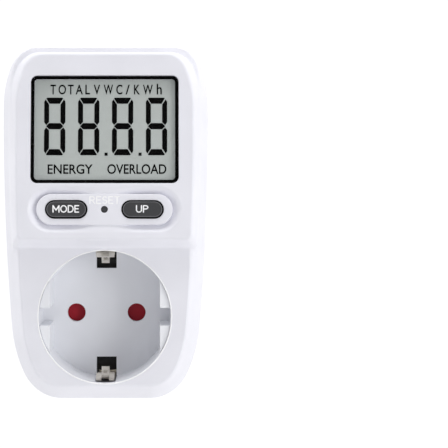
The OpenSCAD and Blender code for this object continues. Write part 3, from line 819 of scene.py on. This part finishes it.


# The silicone mat: one sheet, and a dome under each key, which on the meter flattens as the key
# goes in but here keeps its shape in a mesh of its own. Depths are from the panel's face, and each
# dome has its key's word, place across and radius
DOME_TOP, DOME_FOOT, TRAVEL = 3.22, 6.9, 1.0
DOMES = [("mode", -KEY_PITCH / 2, 3), ("reset", 0, 1.6), ("up", KEY_PITCH / 2, 3)]
SHEET_D, SHEET_THICK, DOME_HOLLOW = 6.5, 0.8, 0.7


def mat_sheet():
    skin = Skin()
    x, up = rounded_loop(38, 9.6, 1.5)
    outer = skin.add(*on_panel(x, SHEET_D, up + KEY_UP))
    holes = []
    for _, at, r in DOMES:
        x, up = round_loop(r - DOME_HOLLOW, 48)
        holes.append(skin.add(*on_panel(x + at, SHEET_D, up + KEY_UP)))
    skin.fill(outer, holes)
    return skin.build("mat_sheet", SHEET_THICK)


def mat_dome(name, at, r):
    """A dome of radius r: its hollow, its foot and its outside."""
    skin = Skin()
    loops = []
    for d, radius in [(5.2, r - DOME_HOLLOW), (DOME_FOOT, r - DOME_HOLLOW), (DOME_FOOT, r + 0.6),
                      (DOME_TOP, r - 0.4)]:
        x, up = round_loop(radius, 48)
        loops.append(skin.add(*on_panel(x + at, d, up + KEY_UP)))
    skin.bands(loops)
    skin.faces += [tuple(loops[0]), tuple(loops[-1][::-1])]
    return skin.build("mat_dome_" + name)


piece(mat_sheet(), "housing", "mat_rubber", "keypad_mat")
for word, at, r in DOMES:
    dome = mat_dome(word, at, r)
    piece(dome, "housing", "mat_rubber")
    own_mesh(dome)


# Word, the body it rides on and its slot, left edge, width, base, height, pen, and its surface
LABELS = [("MODE", "mode_key", "key_grey", -KEY_PITCH / 2 - 4.1, 8.04, -1.05, 2.3, 0.37, on_key),
          ("UP", "up_key", "key_grey", KEY_PITCH / 2 - 2.0, 3.78, -1.05, 2.3, 0.37, on_key),
          ("RESET", "housing", "casing_white", -4.55, 9.3, 1.58, 2.43, 0.38, on_pad)]
for word, body, slot, *drawn in LABELS:
    piece(strokes(word.lower() + "_label", word, *drawn), body, slot)

# ---- materials ----


def node(tree, kind, **values):
    """A new node, with its inputs or its settings given by name."""
    made = tree.nodes.new(kind)
    for key, value in values.items():
        if key in made.inputs:
            made.inputs[key].default_value = value
        else:
            setattr(made, key, value)
    return made


def remap(tree, source, low, high, to_low, to_high):
    """The source's values from low to high, spread from to_low to to_high."""
    made = node(tree, "ShaderNodeMapRange", **{"From Min": low, "From Max": high,
                                               "To Min": to_low, "To Max": to_high})
    tree.links.new(source, made.inputs["Value"])
    return made.outputs["Result"]


def surface(name, color, rough, metal=0.0, grain=2600, bump=0.03, mottle=0.02, spread=0.05,
            stretch=(1, 1, 1), coat=0.0, alpha=1.0, gloss=0.5, blotch=90):
    """Moulded, painted or metal surface: a fine grain in relief and gloss, soft changes of tone."""
    made = bpy.data.materials.new(name)
    made.use_nodes = True
    tree = made.node_tree
    shader = tree.nodes["Principled BSDF"]
    place = node(tree, "ShaderNodeTexCoord")
    scale = node(tree, "ShaderNodeMapping", Scale=stretch)
    tree.links.new(place.outputs["Object"], scale.inputs["Vector"])
    fine = node(tree, "ShaderNodeTexNoise", Scale=grain, Detail=3.0, Roughness=0.6)
    broad = node(tree, "ShaderNodeTexNoise", Scale=blotch, Detail=2.0, Roughness=0.5)
    tree.links.new(scale.outputs["Vector"], fine.inputs["Vector"])
    tree.links.new(place.outputs["Object"], broad.inputs["Vector"])
    tint = node(tree, "ShaderNodeVectorMath", operation="SCALE")
    tint.inputs[0].default_value = color
    tone = remap(tree, broad.outputs["Fac"], 0.3, 0.7, 1 - mottle, 1 + mottle)
    tree.links.new(tone, tint.inputs["Scale"])
    tree.links.new(tint.outputs["Vector"], shader.inputs["Base Color"])
    haze = remap(tree, fine.outputs["Fac"], 0.25, 0.75, max(0.02, rough - spread),
                 min(1.0, rough + spread))
    tree.links.new(haze, shader.inputs["Roughness"])
    relief = node(tree, "ShaderNodeBump", Strength=bump, Distance=0.0002)
    tree.links.new(fine.outputs["Fac"], relief.inputs["Height"])
    tree.links.new(relief.outputs["Normal"], shader.inputs["Normal"])
    for key, value in {"Metallic": metal, "Coat Weight": coat, "Coat Roughness": 0.08,
                       "Alpha": alpha, "Specular IOR Level": gloss}.items():
        shader.inputs[key].default_value = value
    return made


LOOKS = {
    "casing_white": dict(color=(0.82, 0.82, 0.88), rough=0.42, bump=0.05),
    # The same white plastic as the casing, made whiter: painted light in the socket's recess
    "socket_white": dict(color=(0.87, 0.88, 0.92), rough=0.4, bump=0.04),
    "plug_white": dict(color=(0.80, 0.80, 0.83), rough=0.38, bump=0.04),
    "pin_nickel": dict(color=(0.80, 0.70, 0.53), rough=0.16, metal=1.0, grain=500,
                       stretch=(1, 0.05, 1), spread=0.03, bump=0.002),
    "contact_brass": dict(color=(0.80, 0.60, 0.28), rough=0.28, metal=1.0, grain=1500,
                          stretch=(1, 0.2, 1)),
    "shunt_wire": dict(color=(0.60, 0.42, 0.28), rough=0.35, metal=1.0),
    "earth_spring": dict(color=(0.92, 0.87, 0.78), rough=0.3, metal=1.0, grain=300,
                         stretch=(1, 0.1, 0.1), bump=0.001, spread=0.02),
    "shutter_red": dict(color=(0.35, 0.010, 0.023), rough=0.45, bump=0.03, gloss=0.25),
    "steel_small": dict(color=(0.62, 0.62, 0.63), rough=0.3, metal=1.0),
    # Near black: the inner parts are dark plastic, made this dark as painted shade for the deep
    # slots that they show through
    "inner_grey": dict(color=(0.02, 0.02, 0.02), rough=0.6),
    "window_clear": dict(color=(0.01, 0.01, 0.01), rough=0.06, alpha=0.03, bump=0.0,
                         spread=0.01, mottle=0.0),
    "mask_black": dict(color=(0.002, 0.002, 0.002), rough=0.6, bump=0.01, gloss=0.03),
    "lcd_glass": dict(color=(0.52, 0.555, 0.54), rough=0.5, gloss=0.3, bump=0.01, mottle=0.012,
                      blotch=400),
    "lcd_reflector": dict(color=(0.50, 0.54, 0.51), rough=0.55),
    "holder_ivory": dict(color=(0.78, 0.77, 0.72), rough=0.5),
    "zebra_rubber": dict(color=(0.12, 0.12, 0.13), rough=0.7, grain=9000,
                         stretch=(1, 0.02, 0.02)),
    "board_green": dict(color=(0.02, 0.14, 0.05), rough=0.32, coat=0.4, mottle=0.12, blotch=900),
    "epoxy_black": dict(color=(0.012, 0.012, 0.013), rough=0.25),
    "can_silver": dict(color=(0.75, 0.75, 0.76), rough=0.22, metal=1.0),
    "key_grey": dict(color=(0.042, 0.042, 0.046), rough=0.5, bump=0.08, grain=4200),
    "mat_rubber": dict(color=(0.5, 0.51, 0.52), rough=0.6),
    # Near black on the rings down the keys' gaps: painted shade
    "carbon_rubber": dict(color=(0.006, 0.006, 0.006), rough=0.8, gloss=0.1),
    "cell_green": dict(color=(0.03, 0.22, 0.06), rough=0.3, coat=0.3),
    "board_tan": dict(color=(0.48, 0.31, 0.13), rough=0.45, mottle=0.1, blotch=500),
    "cap_yellow": dict(color=(0.75, 0.5, 0.03), rough=0.3),
    "cap_sleeve": dict(color=(0.015, 0.025, 0.1), rough=0.25, coat=0.4),
    "varistor_blue": dict(color=(0.02, 0.09, 0.4), rough=0.35),
    "resistor_tan": dict(color=(0.55, 0.4, 0.2), rough=0.5),
    "wire_red": dict(color=(0.5, 0.015, 0.012), rough=0.35),
    "screw_steel": dict(color=(0.55, 0.55, 0.56), rough=0.3, metal=1.0, bump=0.05),
}
MATERIALS = {slot: surface(slot, **look) for slot, look in LOOKS.items()}
# White for the print, and the same white on the socket's rim ring as a painted highlight
PRINT_AND_RIM_HIGHLIGHT_WHITE = surface("label_white", (0.97, 0.97, 0.985), 0.5)
# A lighter grey for the keys' bead: a painted highlight on their top edge
KEY_EDGE_HIGHLIGHT = surface("key_edge", (0.14, 0.14, 0.15), 0.4)
# Pieces that differ from their slot's look, by the last word of their name
SPECIAL = {"label": PRINT_AND_RIM_HIGHLIGHT_WHITE, "ring": PRINT_AND_RIM_HIGHLIGHT_WHITE, "edge": KEY_EDGE_HIGHLIGHT}
for obj, slot in pieces:
    obj.data.materials.clear()
    obj.data.materials.append(SPECIAL.get(obj.name.split("_")[-1], MATERIALS[slot]))
for part in frame["record"]["subparts"]:
    obj = frame["nodes"][part["node"]]
    for spot in obj.material_slots:
        spot.link = "OBJECT"
        spot.material = MATERIALS[part["material_slot"]]

# ---- floor and light ----

SCENE.view_settings.view_transform = "Standard"
# The sky's strength is its level, plus these weights times the direction's X, Y and Z, plus
# these weights times their squares
SKY_LEVEL, SKY_SLOPE, SKY_SQUARES = 0.76, (0.0, 0.44, 0.0), (0.15, -0.14, 0.24)
# Name, place, width and power of each softbox, and the place that they all face
SOFTBOXES = [("box_right", (0.60, -0.56, 0.0), 0.4, 2.0),
             ("box_left", (-0.8, -0.2, 0.25), 0.4, 1.3),
             ("box_top", (0.05, -0.2, 0.9), 0.5, 3.5)]
SOFTBOX_AIM = (0, -0.03, 0.02)
# Well below the meter and small enough to stay out of the main view
FLOOR_Z, FLOOR_HALF = -0.26, 1.0


def sky():
    """Studio light, brightest behind the meter and dim behind the camera."""
    world = bpy.data.worlds.new("studio")
    SCENE.world = world
    world.use_nodes = True
    tree = world.node_tree
    towards = node(tree, "ShaderNodeTexCoord").outputs["Generated"]
    squares = node(tree, "ShaderNodeVectorMath", operation="MULTIPLY")
    tree.links.new(towards, squares.inputs[0])
    tree.links.new(towards, squares.inputs[1])
    sums = [node(tree, "ShaderNodeMath", operation="ADD") for _ in range(2)]
    for source, weights, add in ((towards, SKY_SLOPE, sums[0]),
                                 (squares.outputs["Vector"], SKY_SQUARES, sums[1])):
        weigh = node(tree, "ShaderNodeVectorMath", operation="DOT_PRODUCT")
        weigh.inputs[1].default_value = weights
        tree.links.new(source, weigh.inputs[0])
        tree.links.new(weigh.outputs["Value"], add.inputs[0])
    sums[0].inputs[1].default_value = SKY_LEVEL
    tree.links.new(sums[0].outputs["Value"], sums[1].inputs[1])
    background = tree.nodes["Background"]
    tree.links.new(sums[1].outputs["Value"], background.inputs["Strength"])
    background.inputs["Color"].default_value = (1, 1, 1, 1)


def softbox(name, location, size, power):
    light = bpy.data.lights.new(name, "AREA")
    light.size = size
    light.energy = power
    obj = bpy.data.objects.new(name, light)
    obj.location = location
    aim = Vector(SOFTBOX_AIM) - Vector(location)
    obj.rotation_euler = aim.to_track_quat("-Z", "Y").to_euler()
    SCENE.collection.objects.link(obj)


def floor():
    """A plain pale floor, which the meter is held clear of."""
    corners = [(-1, -1), (1, -1), (1, 1), (-1, 1)]
    mesh = bpy.data.meshes.new("floor")
    mesh.from_pydata([(x * FLOOR_HALF, y * FLOOR_HALF, FLOOR_Z) for x, y in corners], [],
                     [(0, 1, 2, 3)])
    mesh.materials.append(surface("floor_pale", (0.78, 0.78, 0.78), 0.9, bump=0.0, mottle=0.0,
                                  gloss=0.0))
    obj = bpy.data.objects.new("floor", mesh)
    SCENE.collection.objects.link(obj)


sky()
floor()
for box in SOFTBOXES:
    softbox(*box)
